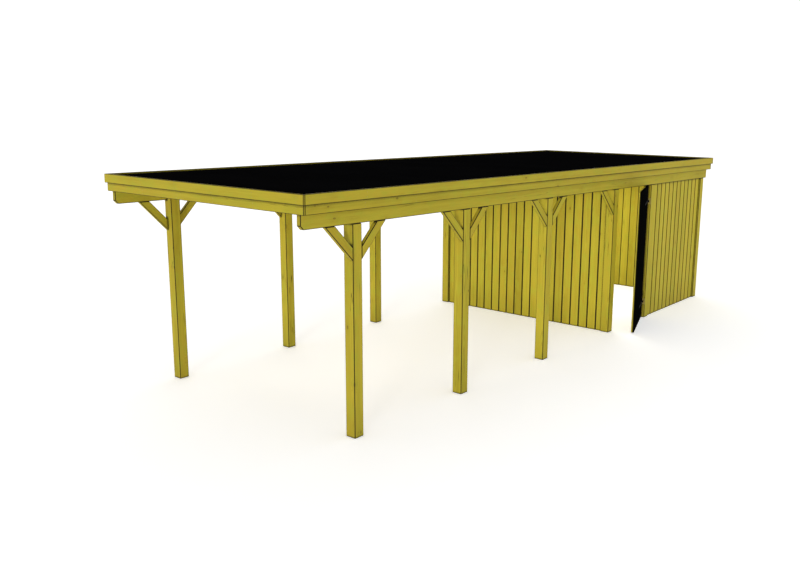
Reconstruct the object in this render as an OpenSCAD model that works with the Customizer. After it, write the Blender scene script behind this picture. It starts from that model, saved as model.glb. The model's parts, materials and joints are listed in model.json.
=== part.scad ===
// Flat-roofed timber carport with a board-clad storage room across its rear end.
// X runs across the width, Y from the open front to the rear, Z up from the ground.
// The origin is the centre of the front left post's foot.

/* [Plan] */
// Outside width over the posts
frame_w = 2920; // [2400:10:4000]
// Roof overhang past the posts at each side
side_overhang = 80; // [60:5:300]
// Front fascia to the front face of the first posts
front_overhang = 680; // [450:10:900]
// Spacing of the free posts, face to face
post_spacing = 1690; // [1300:10:2200]
// Spacing from the last free post to the corner post of the room
room_spacing = 1705; // [1300:10:2200]
// Depth of the room over its corner posts
room_depth = 3015; // [2200:5:3600]
// Rear faces of the last posts to the rear fascia
rear_overhang = 140; // [100:5:400]

/* [Posts and beams] */
// Side of a square post
post = 120; // [100:5:160]
// Thickness of a side beam
beam_t = 50; // [40:1:60]
// Depth of a side beam
beam_h = 180; // [150:5:220]
// Part of a side beam that shows below the fascia
beam_show = 136; // [110:1:150]
// Size of the cut-off lower corner at a beam's front end
beam_chamfer = 36; // [10:1:60]
// Thickness of a knee brace
brace_t = 45; // [40:5:80]
// Depth of a knee brace, square to its length
brace_h = 88; // [60:1:120]
// Reach of a knee brace's upper edge along the beam
brace_reach = 220; // [150:5:350]

/* [Roof] */
// Top of the fascia at the front
front_h = 2415; // [2300:5:2800]
// Fall of the roof from front to rear
roof_fall = 164; // [50:1:250]
// Thickness of a fascia board
fascia_t = 20; // [16:1:28]
// Height of the upper fascia board
upper_fascia_h = 95; // [80:1:150]
// Part of the lower fascia board that shows below the upper one
lower_fascia_show = 88; // [60:1:150]
// Depth of the roof surface below the fascia's top
roof_sink = 18; // [10:1:40]
// Thickness of the roof membrane
membrane_t = 3; // [2:1:6]
// Thickness of the roof boarding
deck_t = 18; // [16:1:28]
// Width of a rafter
rafter_w = 60; // [40:5:80]
// Rafter bays over the open part
open_bays = 8; // [5:1:12]
// Rafter bays over the room
room_bays = 4; // [3:1:6]

/* [Room] */
// Thickness of the wall boards
board_t = 20; // [16:1:28]
// Wall boards' outer face behind the posts' outer faces
wall_setback = 25; // [10:1:50]
// Clear width of the doorway
doorway_w = 1000; // [800:5:1200]

/* [Door] */
// Gap between the leaf and the posts
leaf_gap = 5; // [5:1:10]
// Bottom of the leaf above the ground
leaf_bottom = 15; // [10:1:40]
// Top of the leaf above the ground
leaf_top = 1960; // [1700:5:1960]
// Thickness of the inner frame of the leaf
leaf_frame_t = 20; // [16:1:30]
// Width of the inner frame's members
leaf_frame_w = 95; // [70:5:120]
// Leaf's outer face behind the posts' outer faces
leaf_setback = 36; // [34:1:45]
// Angle by which the leaf stands open
door_open = 20; // [0:1:95]
// Diameter of a hinge pin
pin_d = 12; // [10:1:14]
// Length of a hinge strap past its pin
strap_l = 420; // [250:10:600]
// Height of a hinge strap
strap_h = 36; // [30:1:50]

/* [Hidden] */
$fn = 48;
side_posts = 6;
roof_w = frame_w + 2 * side_overhang;
room_front = front_overhang + 2 * post_spacing + room_spacing;
room_rear = room_front + room_depth;
roof_l = room_rear + rear_overhang;
pitch = asin(roof_fall / roof_l);
hinge_post_y = room_front + post + doorway_w;
post_y = [
    front_overhang,
    front_overhang + post_spacing,
    front_overhang + 2 * post_spacing,
    room_front,
    hinge_post_y,
    room_rear - post
];

// Depths of the roof's layers below the fascia's top, square to the roof
membrane_low = roof_sink + membrane_t;
deck_low = membrane_low + deck_t;
beam_low = upper_fascia_h + lower_fascia_show + beam_show;
beam_high = beam_low - beam_h;
fascia_low = upper_fascia_h + lower_fascia_show;

// Plan of the roof's layers
deck_x = roof_w / 2 - 2 * fascia_t;
deck_y = 2 * fascia_t;
deck_l = roof_l - 4 * fascia_t;
rafter_gap = 5;
post_x = frame_w / 2;
inner_x = post_x - post;
wall_out = post_x - wall_setback;
front_rafter_run = room_front + wall_setback + board_t + rafter_gap - deck_y;
room_rafter_run = deck_l - rafter_w - front_rafter_run;

// Door leaf, its hinge pin and the hinge's fittings
ring_r = 9;
pin_play = 0.05;
ring_bore = pin_d / 2 + pin_play;
strap_t = 4;
plate_t = 4;
plate_h = 90;
lug_h = 10;
lug_w = 12;
lug_gap = 1;
pin_over = 6;
pin_out = 11;
pin_back = plate_t + ring_r + lug_gap;
pivot_x = post_x - leaf_setback + pin_out;
pivot_y = hinge_post_y - pin_back;
leaf_w = doorway_w - 2 * leaf_gap;
leaf_h = leaf_top - leaf_bottom;
leaf_end = pin_back - leaf_gap;
hinge_inset = 230;
hinge_z = [leaf_bottom + hinge_inset, leaf_top - hinge_inset];

far = 12000;
cut = 400;

// Moves the drawing frame, on the centre line at the front fascia, to the part's own frame
module place() {
    translate([inner_x + post / 2, -front_overhang - post / 2, 0])
        children();
}

// Draws a right-hand piece on the chosen side
module on_side(side) {
    mirror([side == "left" ? 1 : 0, 0, 0])
        children();
}

// Frame of the sloping roof: Y along the fall, Z square to it, 0 at the fascia's top
module in_roof() {
    translate([0, 0, front_h])
        rotate([-pitch, 0, 0])
            children();
}

// Slab in the roof's frame, from its upper to its lower depth
module roof_slab(x0, x1, y0, y1, high, low) {
    in_roof()
        translate([x0, y0, -low])
            cube([x1 - x0, y1 - y0, low - high]);
}

// Everything above a depth of the roof
module above(depth) {
    in_roof()
        translate([-far / 2, -cut, -depth])
            cube([far, far, far / 4]);
}

// Post notched on its outer face for the beam
module side_post(y) {
    color("darkkhaki")
        difference() {
            translate([inner_x, y, 0])
                cube([post, post, front_h]);
            above(beam_high);
            roof_slab(post_x - beam_t, post_x + cut, -cut, roof_l + cut, beam_high - cut, beam_low);
        }
}

// Side beam, with its lower front corner cut off
module side_beam() {
    color("darkkhaki")
        in_roof()
            translate([post_x - beam_t, 0, 0])
                rotate([90, 0, 90])
                    linear_extrude(beam_t)
                        polygon([
                            [deck_y, -beam_high],
                            [deck_y, -beam_low + beam_chamfer],
                            [deck_y + beam_chamfer, -beam_low],
                            [deck_y + deck_l, -beam_low],
                            [deck_y + deck_l, -beam_high]
                        ]);
}

// Knee brace at 45 degrees from a post's face up to the beam; way is -1 to the front, 1 to the rear
module brace(y, way) {
    face = y + (way > 0 ? post : 0);
    depth = brace_h * sqrt(2);
    top = front_h;
    foot = front_h - beam_low / cos(pitch) - face * tan(pitch) - brace_reach;
    color("darkkhaki")
        difference() {
            translate([post_x - brace_t, 0, 0])
                rotate([90, 0, 90])
                    linear_extrude(brace_t)
                        polygon([
                            [face, foot - depth],
                            [face, foot],
                            [face + way * (top - foot), top],
                            [face + way * (top - foot + depth), top]
                        ]);
            above(beam_low);
        }
}

module brace_pair(y) {
    brace(y, -1);
    brace(y, 1);
}

// Rafters laid across both beams
module rafter_row(first, last, run, start, bays) {
    color("darkkhaki")
        for (k = [first : last])
            roof_slab(-deck_x, deck_x, start + k * run / bays, start + k * run / bays + rafter_w,
                      deck_low, beam_high);
}

module open_rafters() {
    rafter_row(0, open_bays - 1, front_rafter_run, deck_y, open_bays);
}

module room_rafters() {
    rafter_row(0, room_bays, room_rafter_run, deck_y + front_rafter_run, room_bays);
}

module roof_deck() {
    color("burlywood")
        roof_slab(-deck_x, deck_x, deck_y, deck_y + deck_l, membrane_low, deck_low);
}

// Membrane, up to the upper fascia's inner faces
module roof_membrane() {
    edge = roof_w / 2 - fascia_t;
    color("black")
        roof_slab(-edge, edge, fascia_t, roof_l - fascia_t, roof_sink, membrane_low);
}

// Fascia board across the width; the boards along the sides butt against it
module cross_fascia(inset, y, high, low) {
    color("darkkhaki")
        roof_slab(-roof_w / 2 + inset, roof_w / 2 - inset, y, y + fascia_t, high, low);
}

module side_fascia(inset, high, low) {
    color("darkkhaki")
        roof_slab(roof_w / 2 - inset - fascia_t, roof_w / 2 - inset,
                  inset + fascia_t, roof_l - inset - fascia_t, high, low);
}

// Boards between the corner posts, up to the roof boarding
module cross_wall(y) {
    color("darkkhaki")
        difference() {
            translate([-inner_x, y, 0])
                cube([2 * inner_x, board_t, front_h]);
            above(deck_low);
        }
}

// Boards between two posts of a side, up to the beam
module side_wall(from_post, to_post) {
    color("darkkhaki")
        difference() {
            translate([wall_out - board_t, post_y[from_post] + post, 0])
                cube([board_t, post_y[to_post] - post_y[from_post] - post, front_h]);
            above(beam_low);
        }
}

// Frame of the door: the hinge pin's axis is Z, the closed leaf runs along -Y
module in_door() {
    translate([pivot_x, pivot_y, 0])
        rotate([0, 0, door_open])
            children();
}

module door_boards() {
    color("dimgray")
        in_door()
            translate([-pin_out - board_t, leaf_end - leaf_w, leaf_bottom])
                cube([board_t, leaf_w, leaf_h]);
}

// Frame and middle rail behind the leaf's boards
module door_frame() {
    gap_w = leaf_w - 2 * leaf_frame_w;
    gap_h = leaf_h / 2 - 1.5 * leaf_frame_w;
    color("darkkhaki")
        in_door()
            translate([-pin_out - board_t - leaf_frame_t, leaf_end - leaf_w, leaf_bottom])
                difference() {
                    cube([leaf_frame_t, leaf_w, leaf_h]);
                    for (z = [leaf_frame_w, leaf_h - leaf_frame_w - gap_h])
                        translate([-cut / 2, leaf_frame_w, z])
                            cube([cut, gap_w, gap_h]);
                }
}

// Strap along the leaf's face, with the ring that turns on the pin
module hinge_strap(z) {
    color("silver")
        in_door()
            translate([0, 0, z - strap_h / 2])
                difference() {
                    union() {
                        translate([-pin_out, -strap_l, 0])
                            cube([strap_t, strap_l, strap_h]);
                        cylinder(r = ring_r, h = strap_h);
                    }
                    translate([0, 0, -cut / 2])
                        cylinder(r = ring_bore, h = cut);
                }
}

// Plate on the post with the lug and the upright pin
module hinge_pin(z) {
    low = z - strap_h / 2 - lug_gap - lug_h;
    color("silver")
        translate([pivot_x, pivot_y, 0]) {
            translate([-ring_r, pin_back - plate_t, z - plate_h / 2])
                cube([post_x - pivot_x + ring_r, plate_t, plate_h]);
            translate([0, 0, low])
                cylinder(r = ring_r, h = lug_h);
            translate([-lug_w / 2, 0, low])
                cube([lug_w, pin_back - plate_t, lug_h]);
            translate([0, 0, low])
                cylinder(d = pin_d, h = lug_h + lug_gap + strap_h + pin_over);
        }
}

for (side = ["left", "right"]) {
    for (k = [0 : side_posts - 1])
        place() on_side(side) side_post(post_y[k]);
    place() on_side(side) side_beam();
    for (k = [0 : 2])
        place() on_side(side) brace_pair(post_y[k]);
    place() on_side(side) brace(post_y[3], -1);
    place() on_side(side) side_fascia(0, 0, upper_fascia_h);
    place() on_side(side) side_fascia(fascia_t, membrane_low, fascia_low);
}
place() cross_fascia(0, 0, 0, upper_fascia_h);  // front_upper_fascia
place() cross_fascia(0, roof_l - fascia_t, 0, upper_fascia_h);  // rear_upper_fascia
place() cross_fascia(fascia_t, fascia_t, membrane_low, fascia_low);  // front_lower_fascia
place() cross_fascia(fascia_t, roof_l - 2 * fascia_t, membrane_low, fascia_low);  // rear_lower_fascia
place() open_rafters();
place() room_rafters();
place() roof_deck();
place() roof_membrane();
place() cross_wall(room_front + wall_setback);  // front_wall
place() cross_wall(room_rear - wall_setback - board_t);  // rear_wall
place() on_side("left") side_wall(3, 4);  // left_wall_front
place() on_side("left") side_wall(4, 5);  // left_wall_rear
place() side_wall(4, 5);  // right_wall
place() door_boards();
place() door_frame();
place() hinge_strap(hinge_z[0]);  // lower_hinge_strap
place() hinge_strap(hinge_z[1]);  // upper_hinge_strap
place() hinge_pin(hinge_z[0]);  // lower_hinge_pin
place() hinge_pin(hinge_z[1]);  // upper_hinge_pin
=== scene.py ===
"""Builds the finished look of a flat-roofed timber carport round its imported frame."""
import json
import math
import random

import bmesh
import bpy
from bpy.props import (
    FloatProperty,
    FloatVectorProperty,
    IntProperty,
    PointerProperty,
)
from mathutils import Matrix, Vector


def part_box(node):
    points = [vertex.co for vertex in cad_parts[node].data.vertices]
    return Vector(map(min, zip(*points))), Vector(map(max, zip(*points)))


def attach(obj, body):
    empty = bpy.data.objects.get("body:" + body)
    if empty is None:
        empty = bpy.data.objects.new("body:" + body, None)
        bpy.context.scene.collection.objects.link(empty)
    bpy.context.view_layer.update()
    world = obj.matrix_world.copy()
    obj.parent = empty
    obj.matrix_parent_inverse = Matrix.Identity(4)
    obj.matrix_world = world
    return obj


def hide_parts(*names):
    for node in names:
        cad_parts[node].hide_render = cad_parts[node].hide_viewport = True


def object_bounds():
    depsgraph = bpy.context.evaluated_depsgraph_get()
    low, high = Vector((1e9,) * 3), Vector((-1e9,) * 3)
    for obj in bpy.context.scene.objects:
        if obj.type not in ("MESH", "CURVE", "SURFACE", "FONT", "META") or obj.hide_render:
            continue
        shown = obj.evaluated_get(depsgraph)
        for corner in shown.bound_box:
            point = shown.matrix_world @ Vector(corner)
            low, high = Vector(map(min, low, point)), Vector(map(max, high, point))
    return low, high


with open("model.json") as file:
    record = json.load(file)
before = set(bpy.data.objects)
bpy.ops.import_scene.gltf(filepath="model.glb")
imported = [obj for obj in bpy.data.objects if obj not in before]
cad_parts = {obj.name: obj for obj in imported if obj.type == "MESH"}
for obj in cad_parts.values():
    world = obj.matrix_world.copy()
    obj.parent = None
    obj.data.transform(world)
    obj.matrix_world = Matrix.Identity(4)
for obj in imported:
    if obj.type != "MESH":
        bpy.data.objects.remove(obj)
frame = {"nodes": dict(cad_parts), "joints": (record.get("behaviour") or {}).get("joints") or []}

bl_info = {
    "name": "Timber carport",
    "version": (1, 0, 0),
    "blender": (4, 5, 0),
    "location": "3D View > Sidebar > Carport",
    "description": "Builds the finished timber carport round its packed frame",
    "category": "Object",
}

CAD_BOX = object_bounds()
SIDES = ("left", "right")
UP = Vector((0, 0, 1))
X_AXIS = Vector((1, 0, 0))
Y_AXIS = Vector((0, 1, 0))
RAFTERS = ("open_rafters", "room_rafters")
BRACES = ("braces_1", "braces_2", "braces_3", "brace_4")
DOOR = next(j for j in frame["joints"] if j["name"] == "door_hinge")
WELD = 1e-5  # two points nearer than this are one
NEAR = 1e-4  # two places nearer than this are level with each other
END_DOT = 0.6  # a face whose normal lies at least this much along the fibres is a cut end
ARRIS_DOT = 0.9995  # a face whose normal is at least this near a sawn face's is part of it
FACE_DEPTH = 0.0005  # a face of a board deeper than this is part of a vee, tongue or groove
SLIVER = 0.2  # a last board narrower than this share of a board is spread over the others
BROKEN_EDGE = 0.0006  # width of the broken edges of steel parts
PLATE_INSET = 0.012  # from a hinge plate's edge to its screws
JOINT_PLAY = 0.0004  # between a tongue and its groove, or a rail and its stile
HEAD_SIDES = 12
FINISHES = {}


def corners(node):
    """Places of a CAD node's vertices."""
    return [v.co.copy() for v in frame["nodes"][node].data.vertices]


def find_fall():
    """Drop of the roof for each metre to the rear, from the top edge of a side fascia."""
    points = corners("right_upper_fascia")
    middle = sum(p.y for p in points) / len(points)
    front = max((p for p in points if p.y < middle), key=lambda p: p.z)
    rear = max((p for p in points if p.y > middle), key=lambda p: p.z)
    return (front.z - rear.z) / (rear.y - front.y)


FALL = find_fall()
PITCH = math.atan(FALL)
DOWN_ROOF = Vector((0, math.cos(PITCH), -math.sin(PITCH)))
OFF_ROOF = Vector((0, math.sin(PITCH), math.cos(PITCH)))
ROOF_FRONT = Vector((0, CAD_BOX[0].y, CAD_BOX[1].z))
DOOR_FRAME = Matrix.Translation(DOOR["pos_m"]) @ Matrix.Rotation(
    math.radians(-DOOR["range_deg"][0]), 4, "Z")


def on_roof(x, run, depth):
    """Point at a run from the front edge and a depth square to the roof, from the fascia's top."""
    return ROOF_FRONT + X_AXIS * x + DOWN_ROOF * run - OFF_ROOF * depth


def roof_place(point):
    """Run and depth of a point in the roof's own frame."""
    away = point - ROOF_FRONT
    return away.dot(DOWN_ROOF), -away.dot(OFF_ROOF)


def roof_span(node):
    """First run, last run, least depth and most depth of a node in the roof's own frame."""
    runs, depths = zip(*[roof_place(p) for p in corners(node)])
    return min(runs), max(runs), min(depths), max(depths)


# Settings


def length(name, description, default, low=0.0, high=20.0):
    return FloatProperty(name=name, description=description, default=default, min=low,
                         max=high, precision=4, subtype="DISTANCE", unit="LENGTH")


def colour(name, description, default):
    return FloatVectorProperty(name=name, description=description, default=default,
                               size=3, min=0.0, max=1.0, subtype="COLOR")


class CARPORT_PG_timber(bpy.types.PropertyGroup):
    """Sawn and planed members."""
    arris: length("Post arris", "Width of the planed-off edges of posts, beams and braces", 0.007)
    board_arris: length("Board arris", "Width of the planed-off edges of fascia boards", 0.005)
    pale: colour("Early wood", "Pale part of the treated timber", (0.398, 0.329, 0.0238))
    dark: colour("Late wood", "Dark part of the treated timber", (0.253, 0.199, 0.011))
    # The arris tone is also the colour of the painted shade in crevices and in the boards' joints.
    edge: colour("Arris tone", "Treated timber along its arrises", (0.01, 0.0075, 0.002))
    knot: colour("Knots", "Middle of a knot", (0.13, 0.068, 0.012))
    white: colour("White wood", "Pale part of the untreated roof boards", (0.56, 0.45, 0.16))
    white_dark: colour("White late wood", "Dark part of the untreated roof boards",
                       (0.40, 0.29, 0.07))


class CARPORT_PG_boards(bpy.types.PropertyGroup):
    """Tongued boards of the walls, the roof and the door."""
    cover: length("Cover", "Width that one wall board covers", 0.1363)
    joint: length("Joint", "Open joint between two boards", 0.004)
    vee: length("Vee", "Width and depth of a board's vee on its face side", 0.009)
    back_vee: length("Back vee", "Width and depth of a board's vee on its back", 0.005)
    tongue: length("Tongue", "Length of a board's tongue", 0.006)
    longest: length("Roof board", "Longest board of the roof boarding", 3.4)
    seed: IntProperty(name="Seed", description="Changes which board gets which grain", default=7)


class CARPORT_PG_roof(bpy.types.PropertyGroup):
    """Roof membrane."""
    sheet: length("Sheet", "Width that one sheet of the membrane covers", 0.92)
    lap: length("Lap", "Height of the step at a lap", 0.002)
    black: colour("Membrane", "Colour of the membrane", (0.003, 0.003, 0.0033))


class CARPORT_PG_door(bpy.types.PropertyGroup):
    """Door leaf and its fittings."""
    boards: IntProperty(name="Boards", description="Number of boards in the leaf", default=7,
                        min=1, max=20)
    stain: colour("Stain", "Black stain of the leaf's boards", (0.003, 0.003, 0.003))
    steel: colour("Steel", "Black coat of the hinge straps", (0.003, 0.003, 0.0033))


class CARPORT_PG_fixings(bpy.types.PropertyGroup):
    """Screws and bolts."""
    head: length("Screw head", "Radius of a screw's head", 0.0045)
    rise: length("Rise", "Height of a screw's head above the timber", 0.0009)
    bolt: length("Bolt head", "Radius of a strap bolt's head", 0.0085)
    bolt_rise: length("Bolt rise", "Height of a bolt's head above the strap", 0.0022)
    end_gap: length("End gap", "From a brace's end to its screws", 0.055)
    side_gap: length("Side gap", "From a fascia's end to its first screws", 0.09)
    zinc: colour("Zinc", "Yellow plating of the screws and hinge plates",
                 (0.34, 0.265, 0.06))


class CARPORT_PG_stage(bpy.types.PropertyGroup):
    """Camera, floor and lights."""
    eye: FloatVectorProperty(name="Eye", description="Place of the camera",
                             default=(8.3516, -5.7822, 3.2344), size=3,
                             subtype="TRANSLATION", unit="LENGTH")
    turn: FloatProperty(name="Turn", description="Heading of the camera, from +Y",
                        default=-0.7106, subtype="ANGLE", unit="ROTATION")
    tilt: FloatProperty(name="Tilt", description="Tilt of the camera above level",
                        default=-0.2109, subtype="ANGLE", unit="ROTATION")
    lens: FloatProperty(name="Lens", description="Focal length", default=39.47, min=10,
                        max=200, subtype="DISTANCE_CAMERA", unit="CAMERA")
    floor: colour("Floor", "Colour of the floor", (0.935, 0.935, 0.94))
    floor_size: length("Floor size", "Radius of the floor", 90.0, 10.0, 500.0)
    glow: FloatProperty(name="Glow", description="Glow of the floor", default=0.4)
    sky: FloatProperty(name="Sky", description="Strength of the light all round", default=0.96)
    key: FloatProperty(name="Key", description="Strength of the soft key light", default=1.45)
    fill: FloatProperty(name="Room fill", description="Power of the fill inside the room",
                        default=44)
    bay: FloatProperty(name="Bay fill", description="Power of the fill under the open roof",
                       default=9)


# Node trees


class Wiring:
    """Short calls for the nodes and links of one tree."""

    def __init__(self, tree):
        self.tree = tree

    def add(self, kind, *feeds, **settings):
        """Adds a node; feeds are (socket name or number, value or socket to link)."""
        node = self.tree.nodes.new(kind)
        for key, value in settings.items():
            setattr(node, key, value)
        for key, value in feeds:
            self.feed(node, key, value)
        return node

    def feed(self, node, key, value):
        socket = pick(node.inputs, key)
        if isinstance(value, bpy.types.NodeSocket):
            self.tree.links.new(value, socket)
        else:
            socket.default_value = value

    def math(self, operation, *values, **settings):
        return self.add("ShaderNodeMath", *enumerate(values), operation=operation,
                        **settings).outputs[0]

    def plus(self, a, b):
        return self.math("ADD", a, b)

    def minus(self, a, b):
        return self.math("SUBTRACT", a, b)

    def times(self, a, b):
        return self.math("MULTIPLY", a, b)

    def vector(self, operation, *values):
        node = self.add("ShaderNodeVectorMath", *enumerate(values), operation=operation)
        return node.outputs["Value" if operation == "LENGTH" else "Vector"]

    def split(self, vector):
        return self.add("ShaderNodeSeparateXYZ", (0, vector)).outputs

    def joined(self, x=0.0, y=0.0, z=0.0):
        return self.add("ShaderNodeCombineXYZ", (0, x), (1, y), (2, z)).outputs[0]

    def ramp(self, value, low, high, to_low=0.0, to_high=1.0, smooth=False):
        node = self.add("ShaderNodeMapRange", ("Value", value), ("From Min", low),
                        ("From Max", high), ("To Min", to_low), ("To Max", to_high),
                        interpolation_type="SMOOTHSTEP" if smooth else "LINEAR")
        return node.outputs["Result"]

    def noise(self, vector, scale, detail=2.0, rough=0.5):
        stretched = self.vector("MULTIPLY", vector, scale)
        node = self.add("ShaderNodeTexNoise", ("Vector", stretched), ("Scale", 1.0),
                        ("Detail", detail), ("Roughness", rough))
        return node.outputs

    def mix(self, factor, a, b):
        node = self.add("ShaderNodeMix", ("Factor", factor), ("A", a), ("B", b),
                        data_type="RGBA")
        return pick(node.outputs, "Result")


def pick(sockets, key):
    """The socket of that number, or the usable one of that name."""
    if isinstance(key, int):
        return sockets[key]
    return next(s for s in sockets if s.name == key and s.enabled)


def grown_tree(name, inputs):
    """New geometry tree with a Geometry input, the named inputs and a Geometry output."""
    tree = bpy.data.node_groups.new(name, "GeometryNodeTree")
    tree.interface.new_socket("Geometry", in_out="INPUT", socket_type="NodeSocketGeometry")
    for label, kind in inputs:
        tree.interface.new_socket(label, in_out="INPUT", socket_type="NodeSocket" + kind)
    tree.interface.new_socket("Geometry", in_out="OUTPUT", socket_type="NodeSocketGeometry")
    return Wiring(tree), tree.nodes.new("NodeGroupInput").outputs


def close_tree(wiring, geometry, material):
    """Ends a tree in plain geometry with its material."""
    real = wiring.add("GeometryNodeRealizeInstances", ("Geometry", geometry))
    dressed = wiring.add("GeometryNodeSetMaterial", ("Geometry", real.outputs[0]),
                         ("Material", material))
    end = wiring.tree.nodes.new("NodeGroupOutput")
    wiring.tree.links.new(dressed.outputs[0], end.inputs[0])
    return wiring.tree


def kept(wiring, geometry, name, value, domain, kind="FLOAT"):
    """Stores a named attribute and gives the geometry on."""
    return wiring.add("GeometryNodeStoreNamedAttribute", ("Geometry", geometry), ("Name", name),
                      ("Value", value), data_type=kind, domain=domain).outputs[0]


def read(wiring, name, kind):
    """Reads a named attribute."""
    node = wiring.add("GeometryNodeInputNamedAttribute", ("Name", name), data_type=kind)
    return pick(node.outputs, "Attribute")


def drawn(wiring, low, high, number, seed, kind):
    """Draws a random value for each number."""
    node = wiring.add("FunctionNodeRandomValue", ("Min", low), ("Max", high), ("ID", number),
                      ("Seed", seed), data_type=kind)
    return pick(node.outputs, "Value")


def joined_meshes(wiring, weld, *meshes):
    """Joins meshes and merges the points nearer to each other than the weld."""
    both = wiring.add("GeometryNodeJoinGeometry")
    for mesh in meshes:
        wiring.tree.links.new(mesh, both.inputs[0])
    return wiring.add("GeometryNodeMergeByDistance", ("Geometry", both.outputs[0]),
                      ("Distance", weld)).outputs[0]


def board_tree():
    """Tree that runs one board's section up to a length and repeats it side by side."""
    w, given = grown_tree("Row of boards", [
        ("Count", "Int"), ("First", "Float"), ("Spacing", "Float"), ("Start", "Float"),
        ("End", "Float"), ("Length", "Float"), ("Thickness", "Float"), ("Fall across", "Float"),
        ("Fall through", "Float"), ("Seed", "Int"), ("Material", "Material")])
    section = given["Geometry"]
    rise = w.joined(z=given["Length"])
    run = w.add("GeometryNodeExtrudeMesh", ("Mesh", section), ("Offset", rise),
                ("Offset Scale", 1.0), ("Individual", False), mode="FACES")
    foot = w.add("GeometryNodeFlipFaces", ("Mesh", section)).outputs[0]
    board = joined_meshes(w, WELD, foot, run.outputs["Mesh"])
    at = w.split(w.add("GeometryNodeInputPosition").outputs[0])
    board = kept(w, board, "grain", w.joined(at[2], at[0], at[1]), "POINT", "FLOAT_VECTOR")
    row = w.add("GeometryNodeMeshLine", ("Count", given["Count"]),
                ("Start Location", w.joined(given["First"])),
                ("Offset", w.joined(given["Spacing"])))
    laid = w.add("GeometryNodeInstanceOnPoints", ("Points", row.outputs[0]),
                 ("Instance", board)).outputs[0]
    number = w.add("GeometryNodeInputIndex").outputs[0]
    shift = drawn(w, (0, -0.13, -0.05), (40, -0.01, 0.05), number, given["Seed"],
                  "FLOAT_VECTOR")
    tone = drawn(w, 0.0, 1.0, number, w.plus(given["Seed"], 1), "FLOAT")
    laid = kept(w, laid, "shift", shift, "INSTANCE", "FLOAT_VECTOR")
    laid = kept(w, laid, "tone", tone, "INSTANCE")
    real = w.add("GeometryNodeRealizeInstances", ("Geometry", laid)).outputs[0]
    moved = w.vector("ADD", read(w, "grain", "FLOAT_VECTOR"), read(w, "shift", "FLOAT_VECTOR"))
    real = kept(w, real, "grain", moved, "POINT", "FLOAT_VECTOR")
    real = w.add("GeometryNodeRemoveAttribute", ("Geometry", real), ("Name", "shift")).outputs[0]
    across = w.math("MINIMUM", w.math("MAXIMUM", at[0], given["Start"]), given["End"])
    tops = w.math("GREATER_THAN", at[2], w.times(given["Length"], 0.5))
    lift = w.plus(w.times(across, given["Fall across"]), w.times(at[1], given["Fall through"]))
    height = w.plus(at[2], w.times(tops, lift))
    real = w.add("GeometryNodeSetPosition", ("Geometry", real),
                 ("Position", w.joined(across, at[1], height))).outputs[0]
    real = w.add("GeometryNodeMergeByDistance", ("Geometry", real),
                 ("Distance", WELD)).outputs[0]
    # The arris flag marks every face that is neither face side, back nor cut end: the vees,
    # tongues, grooves and sides, which the finish darkens as painted shade in the joints.
    facing = w.split(w.vector("ABSOLUTE", w.add("GeometryNodeInputNormal").outputs[0]))
    cut = w.math("GREATER_THAN", facing[2], END_DOT)
    half = w.times(given["Thickness"], 0.5)
    off_middle = w.math("ABSOLUTE", w.minus(at[1], half))
    inside = w.math("LESS_THAN", off_middle, w.minus(half, FACE_DEPTH))
    real = kept(w, real, "arris", w.math("GREATER_THAN", inside, cut), "FACE")
    real = kept(w, real, "cut", cut, "FACE")
    return close_tree(w, real, given["Material"])


def screw_tree():
    """Tree that sets a recessed round head on every point, square to its facing."""
    w, given = grown_tree("Screw heads", [
        ("Radius", "Float"), ("Rise", "Float"), ("Sides", "Int"), ("Material", "Material")])
    disc = w.add("GeometryNodeMeshCircle", ("Vertices", given["Sides"]),
                 ("Radius", given["Radius"]), fill_type="NGON").outputs[0]
    deep = w.add("GeometryNodeTransform", ("Geometry", disc),
                 ("Translation", w.joined(z=w.times(given["Rise"], -1.5)))).outputs[0]
    wall = w.add("GeometryNodeExtrudeMesh", ("Mesh", deep), ("Individual", False),
                 ("Offset", w.joined(z=w.times(given["Rise"], 2.1))),
                 ("Offset Scale", 1.0), mode="FACES")
    body, top = wall.outputs["Mesh"], wall.outputs["Top"]
    for share, rise in ((0.82, 0.4), (0.5, 0.0), (0.42, -0.9)):
        step = w.add("GeometryNodeExtrudeMesh", ("Mesh", body), ("Selection", top),
                     ("Offset", w.joined(z=w.times(given["Rise"], rise))),
                     ("Offset Scale", 1.0), ("Individual", False), mode="FACES")
        top = step.outputs["Top"]
        body = w.add("GeometryNodeScaleElements", ("Geometry", step.outputs["Mesh"]),
                     ("Selection", top), ("Scale", share)).outputs[0]
    foot = w.add("GeometryNodeFlipFaces", ("Mesh", deep)).outputs[0]
    head = joined_meshes(w, WELD / 10, foot, body)
    turned = w.add("FunctionNodeAlignRotationToVector",
                   ("Vector", read(w, "facing", "FLOAT_VECTOR")), axis="Z").outputs[0]
    laid = w.add("GeometryNodeInstanceOnPoints", ("Points", given["Geometry"]),
                 ("Instance", head), ("Rotation", turned)).outputs[0]
    return close_tree(w, laid, given["Material"])


def grow(name, start, tree, inputs):
    """Runs a tree on a starting mesh and gives the result as a plain mesh."""
    thing = bpy.data.objects.new(name, start)
    bpy.context.scene.collection.objects.link(thing)
    modifier = thing.modifiers.new("Grow", "NODES")
    modifier.node_group = tree
    for item in tree.interface.items_tree:
        if item.item_type == "SOCKET" and item.in_out == "INPUT" and item.name in inputs:
            modifier[item.identifier] = inputs[item.name]
    thing.update_tag()
    bpy.context.view_layer.update()
    graph = bpy.context.evaluated_depsgraph_get()
    mesh = bpy.data.meshes.new_from_object(
        thing.evaluated_get(graph), preserve_all_data_layers=True, depsgraph=graph)
    thing.modifiers.remove(modifier)
    bpy.data.objects.remove(thing)
    bpy.data.meshes.remove(start)
    if not mesh.polygons:
        raise RuntimeError(f"{name}: the tree made nothing")
    material = next(m for m in mesh.materials if m)
    mesh.materials.clear()
    mesh.materials.append(material)
    mesh.polygons.foreach_set("material_index", [0] * len(mesh.polygons))
    mesh.name = name
    return mesh


# Finishes


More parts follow.
